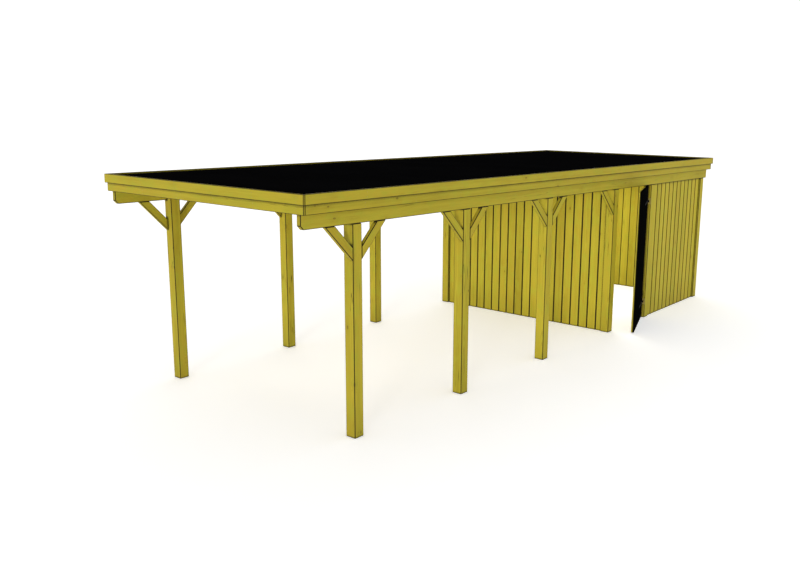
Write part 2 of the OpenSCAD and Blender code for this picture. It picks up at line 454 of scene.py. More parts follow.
def new_material(name):
    material = bpy.data.materials.new(name + "_finish")
    material.use_nodes = True
    material.node_tree.nodes.clear()
    return material, Wiring(material.node_tree)


def finish_material(w, colour_in, rough, bump_height, bump, specular, **constants):
    """Ends a material in one shader with its colour, roughness and relief."""
    relief = w.add("ShaderNodeBump", ("Strength", bump), ("Distance", 0.001),
                   ("Height", bump_height))
    shader = w.add("ShaderNodeBsdfPrincipled", ("Base Color", colour_in),
                   ("Roughness", rough), ("Normal", relief.outputs[0]),
                   ("Specular IOR Level", specular))
    for key, value in constants.items():
        shader.inputs[key].default_value = value
    end = w.add("ShaderNodeOutputMaterial")
    w.tree.links.new(shader.outputs[0], end.inputs["Surface"])


def scaled(tint, share):
    return tuple(c * share for c in tint)


def rgba(tint, share=1.0):
    return (*scaled(tint, share), 1.0)


# Noise and cell counts for each metre along, across and through a member's fibres.
SWAY = (1.1, 5, 5)
KNOTS = (2.8, 5.5, 5.5)
FIBRE = (7, 420, 420)
STREAK = (0.8, 26, 26)
CLOUD = (1.3, 4, 4)
WARMTH = (0.5, 9, 9)
GREEN = (7, 15, 15)
CRACK = (1.3, 30, 30)
CRACKED = (2.1, 6, 6)


def wood(name, pale, dark, edge, knot, ring=0.005, checks=0.0, contrast=1.0, splash=0.35,
         edge_depth=0.97, specular=0.12):
    """Sawn softwood: rings about a pith, streaks, fibres, knots, checks and dark arrises, with
    painted shade in crevices and in the boards' joints.

    The grain attribute holds each member's own place, with X along its fibres. The ring is
    the rings' width in metres; the other numbers are shares of each effect."""
    material, w = new_material(name)
    grain = w.add("ShaderNodeAttribute", attribute_name="grain").outputs["Vector"]
    tone, arris, cut = (w.add("ShaderNodeAttribute", attribute_name=key).outputs["Fac"]
                        for key in ("tone", "arris", "cut"))
    place = w.add("ShaderNodeTexCoord").outputs["Object"]

    sway = w.vector("SUBTRACT", w.noise(grain, SWAY)["Color"], (0.5, 0.5, 0.5))
    bent = w.vector("ADD", grain, w.vector("MULTIPLY", sway, (0, 0.04, 0.04)))
    cell = w.add("ShaderNodeTexVoronoi", ("Vector", w.vector("MULTIPLY", grain, KNOTS)),
                 ("Scale", 1.0))
    near = cell.outputs["Distance"]
    heart = w.ramp(near, 0.045, 0.066, 1.0, 0.0, True)
    rim = w.times(heart, w.ramp(near, 0.03, 0.055))
    halo = w.ramp(near, 0.05, 0.3, 1.0, 0.0, True)
    radius = w.vector("LENGTH", w.vector("MULTIPLY", bent, (0, 1, 1)))
    phase = w.math("DIVIDE", w.plus(radius, w.times(halo, 0.016)), ring)
    late = w.math("POWER", w.ramp(w.math("SINE", w.times(phase, math.tau)), -1, 1), 2.2)
    fibre = w.noise(grain, FIBRE, 3.0, 0.6)["Fac"]
    streak = w.noise(grain, STREAK, 4.0, 0.6)["Fac"]
    cloud = w.noise(grain, CLOUD, 3.0)["Fac"]

    depth = 0.34
    for value, middle, share in ((late, 0.36, 0.62), (fibre, 0.5, 0.8), (streak, 0.5, 1.3),
                                 (cloud, 0.5, 0.8), (tone, 0.5, 0.4)):
        depth = w.plus(depth, w.times(w.minus(value, middle), share * contrast))
    body = w.mix(w.math("ADD", depth, 0.0, use_clamp=True), rgba(pale), rgba(dark))
    warm = w.ramp(w.noise(grain, WARMTH, 2.0)["Fac"], 0.42, 0.7, 0.0, 0.45)
    body = w.mix(warm, body, rgba((pale[0] * 1.02, pale[1] * 0.86, pale[2] * 0.9)))
    green = w.ramp(w.noise(grain, GREEN, 3.0)["Fac"], 0.48, 0.66, 0.0, 0.5)
    body = w.mix(green, body, rgba((pale[0] * 0.8, pale[1] * 0.95, pale[2] * 0.95)))
    for mask, share, tint in ((halo, 0.25, rgba(dark)), (heart, 0.5, rgba(knot)),
                              (rim, 0.45, rgba(knot, 0.45)), (cut, 0.45, rgba(dark))):
        body = w.mix(w.times(mask, share), body, tint)

    line = w.math("ABSOLUTE", w.minus(w.noise(grain, CRACK, 1.0)["Fac"], 0.5))
    patch = w.ramp(w.noise(grain, CRACKED, 1.0)["Fac"], 0.56, 0.62)
    crack = w.times(w.ramp(line, 0.004, 0.012, 1.0, 0.0), patch)
    body = w.mix(w.times(crack, checks), body, rgba(edge))

    low = w.ramp(w.split(place)[2], 0.02, 0.42, 1.0, 0.0)
    soiled = w.times(low, w.ramp(cloud, 0.25, 0.75, 0.5, 1.0))
    body = w.mix(w.times(soiled, splash), body, rgba(dark, 0.6))
    # Dark arrises; on boards the arris flag also holds the faces inside the vees, tongues and
    # grooves, and their darkening there is painted shade in the joints.
    worn = w.ramp(streak, 0.3, 0.75, edge_depth, edge_depth * 0.9)
    body = w.mix(w.times(arris, worn), body, rgba(edge))
    # Painted shade: within 3 cm of other surfaces, in crevices and inside corners, the colour goes
    # towards the arris tone.
    ao_for_painted_shade = w.add("ShaderNodeAmbientOcclusion", ("Distance", 0.03), samples=4).outputs["AO"]
    body = w.mix(w.ramp(ao_for_painted_shade, 0.5, 0.94, 0.92, 0.0), body, rgba(edge))

    rough = w.ramp(w.plus(fibre, w.times(late, -0.35)), 0.1, 0.8, 0.55, 0.85)
    height = w.plus(w.times(late, 0.35), w.times(fibre, 0.9))
    height = w.minus(height, w.times(crack, 1.6 * checks))
    height = w.plus(height, w.times(heart, 0.4))
    finish_material(w, body, rough, height, 0.45, specular)
    return material


def membrane_finish(name, black):
    """Matt roofing felt: a fine tooth with pale grains and a faint drift of dust."""
    material, w = new_material(name)
    place = w.add("ShaderNodeTexCoord").outputs["Object"]
    tooth = w.noise(place, (420, 420, 420), 2.0)["Fac"]
    drift = w.noise(place, (0.9, 1.6, 1.0), 5.0, 0.6)["Fac"]
    body = w.mix(w.ramp(drift, 0.45, 0.8), rgba(black), rgba(black, 1.8))
    body = w.mix(w.ramp(tooth, 0.35, 0.6), body, rgba(black, 0.4))
    body = w.mix(w.ramp(tooth, 0.66, 0.78, 0.0, 0.8), body, rgba(black, 7))
    rough = w.ramp(drift, 0.3, 0.7, 0.82, 0.95)
    finish_material(w, body, rough, tooth, 0.5, 0.0)
    return material


def steel_finish(name, tint, metallic, rough, specular):
    """Coated or plated steel with a fine orange peel and rubbed spots."""
    material, w = new_material(name)
    place = w.add("ShaderNodeTexCoord").outputs["Object"]
    peel = w.noise(place, (700, 700, 700), 2.0)["Fac"]
    rubbed = w.noise(place, (60, 60, 60), 4.0, 0.6)["Fac"]
    body = w.mix(w.ramp(rubbed, 0.55, 0.75, 0.0, 0.6), rgba(tint), rgba(tint, 1.7))
    dull = w.ramp(rubbed, 0.3, 0.7, rough - 0.08, rough + 0.12)
    finish_material(w, body, dull, peel, 0.2, specular, Metallic=metallic)
    return material


def finish(name):
    """The finish of that name, made once."""
    if name not in FINISHES:
        FINISHES[name] = make_finish(name)
    return FINISHES[name]


def make_finish(name):
    """Makes the finish of that name from the settings."""
    scene = bpy.context.scene
    timber, door = scene.carport_timber, scene.carport_door
    edges = timber.edge, timber.knot
    # Scaled copies of the timber colours as painted light and shade: 0.95 darkens the beams,
    # braces, rafters and fascias, and 1.09 lightens the wall boards in the roof's shade.
    plain, painted_shade_tone, painted_light_tone = ((scaled(timber.pale, share), scaled(timber.dark, share), *edges)
                          for share in (1.0, 0.95, 1.09))
    stained = (door.stain, scaled(door.stain, 0.5), (0.001,) * 3, scaled(door.stain, 0.6))
    makers = {
        "post_timber": lambda: wood(name, *plain, checks=0.8),
        "beam_timber": lambda: wood(name, *painted_shade_tone, checks=0.4, splash=0.0),
        "fascia_timber": lambda: wood(name, *painted_shade_tone, ring=0.0045, splash=0.0),
        "cladding": lambda: wood(name, *painted_light_tone, ring=0.004, contrast=1.05),
        "roof_boarding": lambda: wood(name, timber.white, timber.white_dark, *edges,
                                      ring=0.004, splash=0.0),
        "door_timber": lambda: wood(name, *plain, ring=0.004, edge_depth=0.6),
        "door_face": lambda: wood(name, *stained, splash=0.0, specular=0.0),
        "roof_membrane": lambda: membrane_finish(name, scene.carport_roof.black),
        "hinge_steel": lambda: steel_finish(name, door.steel, 0.0, 0.7, 0.03),
        "yellow_zinc": lambda: steel_finish(name, scene.carport_fixings.zinc, 0.5, 0.5, 0.4),
    }
    return makers[name]()


# Meshes and pieces


def piece(name, mesh, body, slot, *nodes, materials=()):
    """Puts a finished mesh in the scene, on its body and in the CAD nodes' place."""
    for material in materials:
        mesh.materials.append(material)
    thing = bpy.data.objects.new(name, mesh)
    bpy.context.scene.collection.objects.link(thing)
    if nodes:
        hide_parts(*nodes)
    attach(thing, body)


def bare_solid(node):
    """Copy of a CAD node with its doubles merged and its flat faces whole."""
    bm = bmesh.new()
    bm.from_mesh(frame["nodes"][node].data)
    bmesh.ops.remove_doubles(bm, verts=bm.verts, dist=WELD)
    bmesh.ops.dissolve_limit(bm, angle_limit=math.radians(0.4), verts=bm.verts, edges=bm.edges)
    return bm


def islands(bm):
    """Groups of joined faces, in the order of their first faces."""
    seen, groups = set(), []
    for first in bm.faces:
        if first in seen:
            continue
        seen.add(first)
        todo, group = [first], []
        while todo:
            face = todo.pop()
            group.append(face)
            for edge in face.edges:
                for other in edge.link_faces:
                    if other not in seen:
                        seen.add(other)
                        todo.append(other)
        groups.append(group)
    return groups


def members(*nodes):
    """Corners of each separate member of some CAD nodes."""
    found = []
    for node in nodes:
        bm = bare_solid(node)
        found += [[v.co.copy() for f in group for v in f.verts] for group in islands(bm)]
        bm.free()
    return found


def round_edges(bm, edges, width, segments=2):
    if edges:
        bmesh.ops.bevel(bm, geom=edges, offset=width, segments=segments, profile=0.5,
                        affect="EDGES", clamp_overlap=True)


def sharp_edges(bm, angle=20.0):
    """Outward edges at which the surface turns by more than an angle in degrees."""
    return [e for e in bm.edges if len(e.link_faces) == 2 and e.is_convex
            and e.calc_face_angle(0.0) > math.radians(angle)]


def dress_timber(bm, arris, seed, heart):
    """Rounds timbers' edges and stores their grain, tones, arrises and cut ends.

    The heart is how far a timber's pith may lie from its middle."""
    rng = random.Random(seed)
    owner = bm.faces.layers.int.new("owner")
    tone = bm.faces.layers.float.new("tone")
    edge = bm.faces.layers.float.new("arris")
    cut = bm.faces.layers.float.new("cut")
    grain = bm.loops.layers.float_vector.new("grain")
    plain = {}
    for group in islands(bm):
        edges = [e for f in group for e in f.edges]
        longest = max(edges, key=lambda e: e.calc_length())
        along = (longest.verts[1].co - longest.verts[0].co).normalized()
        if along.dot(X_AXIS + Y_AXIS + UP) < 0:
            along = -along
        flats = [f.normal.copy() for f in group if abs(f.normal.dot(along)) < 0.3]
        aside = max(flats, key=lambda n: abs(n.dot(X_AXIS)) + 0.5 * abs(n.dot(UP)))
        aside = (aside - along * aside.dot(along)).normalized()
        third = along.cross(aside)
        points = [v.co for f in group for v in f.verts]
        centre = sum(points, Vector()) / len(points)
        shift = Vector((rng.uniform(0, 40), rng.uniform(-heart, heart),
                        rng.uniform(-heart, heart)))
        normals = [f.normal.copy() for f in group]
        for face in group:
            face[owner] = len(plain)
        plain[len(plain)] = (along, aside, third, centre, shift, rng.random(), normals)
    round_edges(bm, sharp_edges(bm), arris)
    bm.normal_update()
    for group in islands(bm):
        along, aside, third, centre, shift, shade, normals = plain[
            max(f[owner] for f in group)]
        for face in group:
            face[tone] = shade
            face[edge] = float(max(face.normal.dot(n) for n in normals) < ARRIS_DOT)
            face[cut] = float(abs(face.normal.dot(along)) > END_DOT)
            for loop in face.loops:
                away = loop.vert.co - centre
                loop[grain] = Vector((away.dot(along), away.dot(aside),
                                      away.dot(third))) + shift
    bm.faces.layers.int.remove(owner)


def mesh_of(bm, name, smooth=None):
    """Ends a bmesh in a plain mesh; smooth is the angle above which an edge stays sharp."""
    mesh = bpy.data.meshes.new(name)
    bm.to_mesh(mesh)
    bm.free()
    if "custom_normal" in mesh.attributes:
        mesh.attributes.remove(mesh.attributes["custom_normal"])
    if smooth is not None:
        mesh.polygons.foreach_set("use_smooth", [True] * len(mesh.polygons))
        mesh.set_sharp_from_angle(angle=math.radians(smooth))
    return mesh


def timber(node, arris, slot, seed, heart=0.05):
    """Makes one CAD node of solid timber a finished piece."""
    bm = bare_solid(node)
    dress_timber(bm, arris, seed, heart)
    piece(node + "_timber", mesh_of(bm, node + "_timber"), "carport", slot, node,
          materials=[finish(slot)])


def board_section(cover, thickness, settings):
    """Section of a tongued board: face side at 0, back at the thickness, tongue to the left.

    Low and high are the sides of the tongue."""
    left, right = settings.joint / 2, cover - settings.joint / 2
    vee, back, tongue = settings.vee, settings.back_vee, settings.tongue
    low, high, slack = thickness * 0.5, thickness * 0.68, JOINT_PLAY
    groove = right - tongue - 0.001
    outline = [
        (left + vee, 0), (right - vee, 0), (right, vee), (right, low - slack),
        (groove, low - slack), (groove, high + slack),
        (right, high + slack), (right, thickness - back), (right - back, thickness),
        (left + back, thickness), (left, thickness - back), (left, high),
        (left - settings.joint - tongue, high), (left - settings.joint - tongue, low),
        (left, low), (left, vee)]
    bm = bmesh.new()
    bm.faces.new([bm.verts.new((x, y, 0)) for x, y in outline])
    bm.normal_update()
    mesh = bpy.data.meshes.new("board_section")
    bm.to_mesh(mesh)
    bm.free()
    return mesh


def row_of_boards(name, cover, thickness, place, material, seed, count, end, length,
                  **inputs):
    """Boards side by side along the place's X, face side towards its -Y, running up its Z."""
    settings = bpy.context.scene.carport_boards
    tree = bpy.data.node_groups.get("Row of boards") or board_tree()
    values = {"Count": count, "First": 0.0, "Spacing": cover, "Start": 0.0, "End": end,
              "Length": length, "Thickness": thickness, "Fall across": 0.0,
              "Fall through": 0.0, "Seed": settings.seed + seed, "Material": material, **inputs}
    mesh = grow(name, board_section(cover, thickness, settings), tree, values)
    mesh.transform(place)
    return mesh


def placing(across, through, along, origin):
    """Place of a row of boards from its three directions and its corner."""
    return Matrix.Translation(origin) @ Matrix((across, through, along)).transposed().to_4x4()


def merged(name, meshes):
    """One mesh of several, with the materials of the first."""
    bm = bmesh.new()
    for mesh in meshes:
        bm.from_mesh(mesh)
    whole = bpy.data.meshes.new(name)
    bm.to_mesh(whole)
    bm.free()
    for material in meshes[0].materials:
        whole.materials.append(material)
    for mesh in meshes:
        bpy.data.meshes.remove(mesh)
    return whole


def heads(name, body, places, radius, material, rise=None):
    """Screw or bolt heads at (point, facing) places, as one piece."""
    settings = bpy.context.scene.carport_fixings
    mesh = bpy.data.meshes.new(name)
    mesh.from_pydata([tuple(p) for p, _ in places], [], [])
    facing = mesh.attributes.new("facing", "FLOAT_VECTOR", "POINT")
    facing.data.foreach_set("vector", [c for _, n in places for c in n])
    tree = bpy.data.node_groups.get("Screw heads") or screw_tree()
    made = grow(name, mesh, tree, {"Radius": radius, "Rise": rise or settings.rise,
                                   "Sides": HEAD_SIDES, "Material": material})
    piece(name, made, body, "hinge_steel")


# Operators


class Maker:
    """What the operators share."""
    bl_options = {"REGISTER", "UNDO"}


class CARPORT_OT_posts(Maker, bpy.types.Operator):
    """Make the twelve notched posts"""
    bl_idname = "carport.posts"
    bl_label = "Posts"

    def execute(self, context):
        for k, side in enumerate(SIDES):
            for n in range(1, 7):
                timber(f"{side}_post_{n}", context.scene.carport_timber.arris, "post_timber",
                       100 + 10 * k + n)
        return {"FINISHED"}


class CARPORT_OT_beams(Maker, bpy.types.Operator):
    """Make the two side beams"""
    bl_idname = "carport.beams"
    bl_label = "Beams"

    def execute(self, context):
        for k, side in enumerate(SIDES):
            timber(f"{side}_beam", context.scene.carport_timber.arris, "beam_timber", 200 + k,
                   0.09)
        return {"FINISHED"}


class CARPORT_OT_braces(Maker, bpy.types.Operator):
    """Make the knee braces between the posts and the beams"""
    bl_idname = "carport.braces"
    bl_label = "Knee braces"

    def execute(self, context):
        arris = context.scene.carport_timber.arris
        for k, side in enumerate(SIDES):
            for n, node in enumerate(BRACES):
                timber(f"{side}_{node}", arris, "beam_timber", 300 + 10 * k + n)
        return {"FINISHED"}


class CARPORT_OT_rafters(Maker, bpy.types.Operator):
    """Make the rafters over the open part and the room"""
    bl_idname = "carport.rafters"
    bl_label = "Rafters"

    def execute(self, context):
        for k, node in enumerate(RAFTERS):
            timber(node, context.scene.carport_timber.arris, "beam_timber", 400 + k)
        return {"FINISHED"}


class CARPORT_OT_fascias(Maker, bpy.types.Operator):
    """Make the two tiers of fascia boards"""
    bl_idname = "carport.fascias"
    bl_label = "Fascias"

    def execute(self, context):
        arris = context.scene.carport_timber.board_arris
        for k, tier in enumerate(("upper", "lower")):
            for n, side in enumerate(("front", "rear", *SIDES)):
                timber(f"{side}_{tier}_fascia", arris, "fascia_timber", 500 + 10 * k + n, 0.06)
        return {"FINISHED"}


class CARPORT_OT_walls(Maker, bpy.types.Operator):
    """Make the board walls of the storage room"""
    bl_idname = "carport.walls"
    bl_label = "Walls"

    def execute(self, context):
        outward = {"front_wall": -Y_AXIS, "rear_wall": Y_AXIS, "left_wall_front": -X_AXIS,
                   "left_wall_rear": -X_AXIS, "right_wall": X_AXIS}
        for k, (node, out) in enumerate(outward.items()):
            self.make(context.scene.carport_boards, node, out, 600 + k)
        return {"FINISHED"}

    def make(self, settings, node, out, seed):
        """One wall: whole boards from one end, the last one ripped unless it is a sliver."""
        low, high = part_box(node)
        through, across = -out, (-out).cross(UP)
        origin = Vector([low[k] if (across - out)[k] > 0 else high[k] for k in (0, 1)] + [low.z])
        width = abs((high - low).dot(across))
        thickness = abs((high - low).dot(out))
        count, cover = int(width / settings.cover), settings.cover
        if width - count * cover < SLIVER * cover:
            cover = width / count
        else:
            count += 1
        top = high.z - FALL * (origin.y - low.y)
        mesh = row_of_boards(
            node + "_boards", cover, thickness, placing(across, through, UP, origin),
            finish("cladding"), seed, count, width - settings.joint / 2, top - low.z,
            **{"Fall across": -FALL * across.y, "Fall through": -FALL * through.y})
        piece(node + "_boards", mesh, "carport", "cladding", node)


class CARPORT_OT_roof_boarding(Maker, bpy.types.Operator):
    """Make the roof boarding over the rafters, its boards jointed over them"""
    bl_idname = "carport.roof_boarding"
    bl_label = "Roof boarding"

    def execute(self, context):
        settings = context.scene.carport_boards
        low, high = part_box("roof_deck")
        start, end, upper, lower = roof_span("roof_deck")
        width = high.x - low.x
        count = round(width / settings.cover)
        cover = width / count
        middles = sorted(sum(roof_place(p)[0] for p in points) / len(points)
                         for points in members(*RAFTERS))
        gap, meshes = settings.joint / 2, []
        for row in (0, 1):
            joints = self.joints(middles, start, end, settings.longest, row)
            for n, (a, b) in enumerate(zip(joints, joints[1:])):
                place = placing(-X_AXIS, OFF_ROOF, DOWN_ROOF,
                                on_roof(high.x, a + gap, lower))
                meshes.append(row_of_boards(
                    f"roof_row_{row}_{n}", cover, lower - upper, place,
                    finish("roof_boarding"), 700 + 10 * row + n, (count + 1 - row) // 2,
                    width, b - a - 2 * gap, First=row * cover, Spacing=2 * cover))
        piece("roof_boarding", merged("roof_boarding", meshes), "carport", "roof_boarding",
              "roof_deck")
        return {"FINISHED"}

    def joints(self, middles, start, end, longest, row):
        """Runs at which the boards of a row end: the front, joints over rafters, the rear."""
        stagger, shortest = 0.6 if row else 1.0, 0.5
        found, reach = [start], start + longest * stagger
        while reach < end - shortest:
            found.append(max(m for m in middles if m <= reach))
            reach = found[-1] + longest
        return found + [end]


class CARPORT_OT_membrane(Maker, bpy.types.Operator):
    """Make the roof membrane, each sheet lapped over the one below it"""
    bl_idname = "carport.membrane"
    bl_label = "Roof membrane"

    def execute(self, context):
        settings = context.scene.carport_roof
        low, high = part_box("roof_membrane")
        start, end, upper, lower = roof_span("roof_membrane")
        outline = [(end, lower), (start, lower), (start, upper)]
        at, worn, step = start + settings.sheet, 0.003, 0.001
        while at < end - 0.1:
            outline += [(at - worn, upper - settings.lap), (at, upper - settings.lap * 0.6),
                        (at + step, upper)]
            at += settings.sheet
        outline.append((end, upper - settings.lap))
        bm = bmesh.new()
        left = [bm.verts.new(on_roof(low.x, *p)) for p in outline]
        right = [bm.verts.new(on_roof(high.x, *p)) for p in outline]
        bm.faces.new(left)
        bm.faces.new(right[::-1])
        for k in range(len(outline)):
            j = (k + 1) % len(outline)
            bm.faces.new((left[k], right[k], right[j], left[j]))
        bmesh.ops.recalc_face_normals(bm, faces=bm.faces)
        piece("roof_membrane_sheets", mesh_of(bm, "roof_membrane_sheets"), "carport",
              "roof_membrane", "roof_membrane", materials=[finish("roof_membrane")])
        return {"FINISHED"}


def door_box(node):
    """Lowest and highest corner of a node of the leaf, in the leaf's own frame."""
    points = [DOOR_FRAME.inverted() @ p for p in corners(node)]
    return (Vector([min(p[k] for p in points) for k in range(3)]),
            Vector([max(p[k] for p in points) for k in range(3)]))


def member_width():
    """Width of the members of the leaf's frame, from the first opening's edge."""
    inner = sorted({round((DOOR_FRAME.inverted() @ p).y, 5) for p in corners("door_frame")})
    return inner[1] - inner[0]


class CARPORT_OT_door(Maker, bpy.types.Operator):
    """Make the door leaf: stained boards on a frame with a middle rail"""
    bl_idname = "carport.door"
    bl_label = "Door leaf"

    def execute(self, context):
        self.boards(context.scene)
        self.frame(context.scene)
        return {"FINISHED"}

    def boards(self, scene):
        low, high = door_box("door_boards")
        width, count = high.y - low.y, scene.carport_door.boards
        place = DOOR_FRAME @ placing(Y_AXIS, -X_AXIS, UP, Vector((high.x, low.y, low.z)))
        mesh = row_of_boards(
            "door_leaf_boards", width / count, high.x - low.x, place, finish("door_timber"), 800,
            count, width, high.z - low.z)
        mesh.materials.append(finish("door_face"))
        outward = DOOR_FRAME.to_3x3() @ X_AXIS
        for face in mesh.polygons:
            if face.normal.dot(outward) > -0.3:
                face.material_index = 1
        piece("door_leaf_boards", mesh, "door", "door_face", "door_boards")

    def frame(self, scene):
        low, high = door_box("door_frame")
        rail = member_width()
        middle = (low.z + high.z) / 2
        parts = [(low.y, low.y + rail, low.z, high.z), (high.y - rail, high.y, low.z, high.z)]
        inset = rail + JOINT_PLAY
        for z in (low.z, middle - rail / 2, high.z - rail):
            parts.append((low.y + inset, high.y - inset, z, z + rail))
        bm = bmesh.new()
        for y0, y1, z0, z1 in parts:
            size = Vector((high.x - low.x, y1 - y0, z1 - z0))
            centre = Vector(((low.x + high.x) / 2, (y0 + y1) / 2, (z0 + z1) / 2))
            bmesh.ops.create_cube(bm, size=1.0, matrix=DOOR_FRAME @ Matrix.Translation(centre)
                                  @ Matrix.Diagonal((*size, 1.0)))
        dress_timber(bm, scene.carport_timber.board_arris, 810, 0.06)
        piece("door_leaf_frame", mesh_of(bm, "door_leaf_frame"), "door", "door_timber",
              "door_frame", materials=[finish("door_timber")])


class CARPORT_OT_hinges(Maker, bpy.types.Operator):
    """Make the strap hinges, their pins and their bolts"""
    bl_idname = "carport.hinges"
    bl_label = "Hinges"

    def execute(self, context):
        fittings, bolts, screws = context.scene.carport_fixings, [], []
        outward = DOOR_FRAME.to_3x3() @ X_AXIS
        for level in ("lower", "upper"):
            strap, pin = f"{level}_hinge_strap", f"{level}_hinge_pin"
            low, high = door_box(strap)
            self.make(strap, "door", "hinge_steel", (high.z - low.z) * 0.45)
            face, middle = self.strap_face(strap), (low.z + high.z) / 2
            for share in (0.16, 0.5, 0.84):
                spot = DOOR_FRAME @ Vector((face, low.y * share, middle))
                bolts.append((spot, outward))
            self.make(pin, "carport", "yellow_zinc")
            low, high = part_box(pin)
            for share in (0.14, 0.86):
                z = low.z + (high.z - low.z) * share
                screws.append((Vector((high.x - PLATE_INSET, self.plate_face(pin), z)), -Y_AXIS))
        heads("hinge_strap_bolts", "door", bolts, fittings.bolt, finish("hinge_steel"),
              fittings.bolt_rise)
        heads("hinge_plate_screws", "carport", screws, fittings.head, finish("yellow_zinc"))
        return {"FINISHED"}

    def make(self, node, body, material, tip_radius=0.0):
        """Makes one node with broken edges, and with a round tip where a radius is given."""
        bm = bare_solid(node)
        if tip_radius:
            round_edges(bm, self.tip_edges(bm, node), tip_radius, 8)
        round_edges(bm, sharp_edges(bm, 40), BROKEN_EDGE, 1)
        piece(node + "_steel", mesh_of(bm, node + "_steel", 30), body, "hinge_steel", node,
              materials=[finish(material)])

    def tip_edges(self, bm, strap):
        """Edges through the strap's thickness at its far end."""
        outward, far = DOOR_FRAME.to_3x3() @ X_AXIS, door_box(strap)[0].y
        return [e for e in bm.edges if all(
            abs((DOOR_FRAME.inverted() @ v.co).y - far) < NEAR for v in e.verts)
            and abs((e.verts[1].co - e.verts[0].co).normalized().dot(outward)) > 0.9]

    def strap_face(self, strap):
        """Outer face of a strap past its ring, in the leaf's own frame."""
        points = [DOOR_FRAME.inverted() @ p for p in corners(strap)]
        far = min(p.y for p in points)
        return max(p.x for p in points if p.y < far + NEAR)

    def plate_face(self, pin):
        """Front face of a pin's plate."""
        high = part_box(pin)[1]
        return min(p.y for p in corners(pin) if p.x > high.x - NEAR)


class CARPORT_OT_screws(Maker, bpy.types.Operator):
    """Set the screws of the fascias, the braces and the door's boards"""
    bl_idname = "carport.screws"
    bl_label = "Screws"

    def execute(self, context):
        settings = context.scene.carport_fixings
        zinc = finish("yellow_zinc")
        heads("fascia_screws", "carport", self.fascias(settings), settings.head, zinc)
        heads("brace_screws", "carport", self.braces(settings), settings.head * 1.2, zinc)
        heads("door_board_screws", "door", self.door(context.scene.carport_door.boards),
              settings.head * 0.9, finish("hinge_steel"))
        return {"FINISHED"}

    def fascias(self, settings):
        """Two screws a tier at each rafter's end, and six pairs along the end boards."""
        places, pairs = [], 6
        for points in members(*RAFTERS):
            run = sum(roof_place(p)[0] for p in points) / len(points)
            for k, side in enumerate(SIDES):
                for tier in ("lower", "upper"):
                    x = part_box(f"{side}_{tier}_fascia")[k].x
                    places += [(on_roof(x, run, depth), X_AXIS * (2 * k - 1))
                               for depth in self.depths(f"{side}_{tier}_fascia", tier)]
        for side, way in (("front", -1), ("rear", 1)):
            for tier in ("lower", "upper"):
                node = f"{side}_{tier}_fascia"
                low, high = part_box(node)
                run = roof_span(node)[0 if way < 0 else 1]
                for k in range(pairs):
                    x = low.x + settings.side_gap
                    x += (high.x - low.x - 2 * settings.side_gap) * k / (pairs - 1)
                    places += [(on_roof(x, run, depth), DOWN_ROOF * way)
                               for depth in self.depths(node, tier)]
        return places

    def depths(self, node, tier):
        """Depths of the two screws across a board, clear of the tier above."""
        upper, lower = roof_span(node)[2:]
        shares = {"lower": (0.66, 0.88), "upper": (0.3, 0.75)}[tier]
        return [upper + (lower - upper) * share for share in shares]

    def braces(self, settings):
        """Two screws near each end of a brace's underside."""
        places = []
        for side in SIDES:
            for node in BRACES:
                bm = bare_solid(f"{side}_{node}")
                for group in islands(bm):
                    under = max((f for f in group if f.normal.z < -0.3 and
                                 abs(f.normal.y) > 0.3), key=lambda f: f.calc_area())
                    points = [v.co for v in under.verts]
                    centre = sum(points, Vector()) / len(points)
                    along = X_AXIS.cross(under.normal).normalized()
                    reach = max(abs((p - centre).dot(along)) for p in points)
                    reach -= settings.end_gap
                    aside = max(abs(p.x - centre.x) for p in points) * 0.5
                    for a in (-reach, reach):
                        for b in (-aside, aside):
                            places.append((centre + along * a + X_AXIS * b,
                                           under.normal.copy()))
                bm.free()
        return places

    def door(self, count):
        """Two screws a board into each rail of the leaf."""
        low, high = door_box("door_boards")
        cover = (high.y - low.y) / count
        middle, half_rail = (low.z + high.z) / 2, member_width() / 2
        outward = DOOR_FRAME.to_3x3() @ X_AXIS
        places = []
        for k in range(count):
            for share in (0.26, 0.74):
                for z in (low.z + half_rail, middle, high.z - half_rail):
                    spot = Vector((high.x, low.y + cover * (k + share), z))
                    places.append((DOOR_FRAME @ spot, outward))
        return places


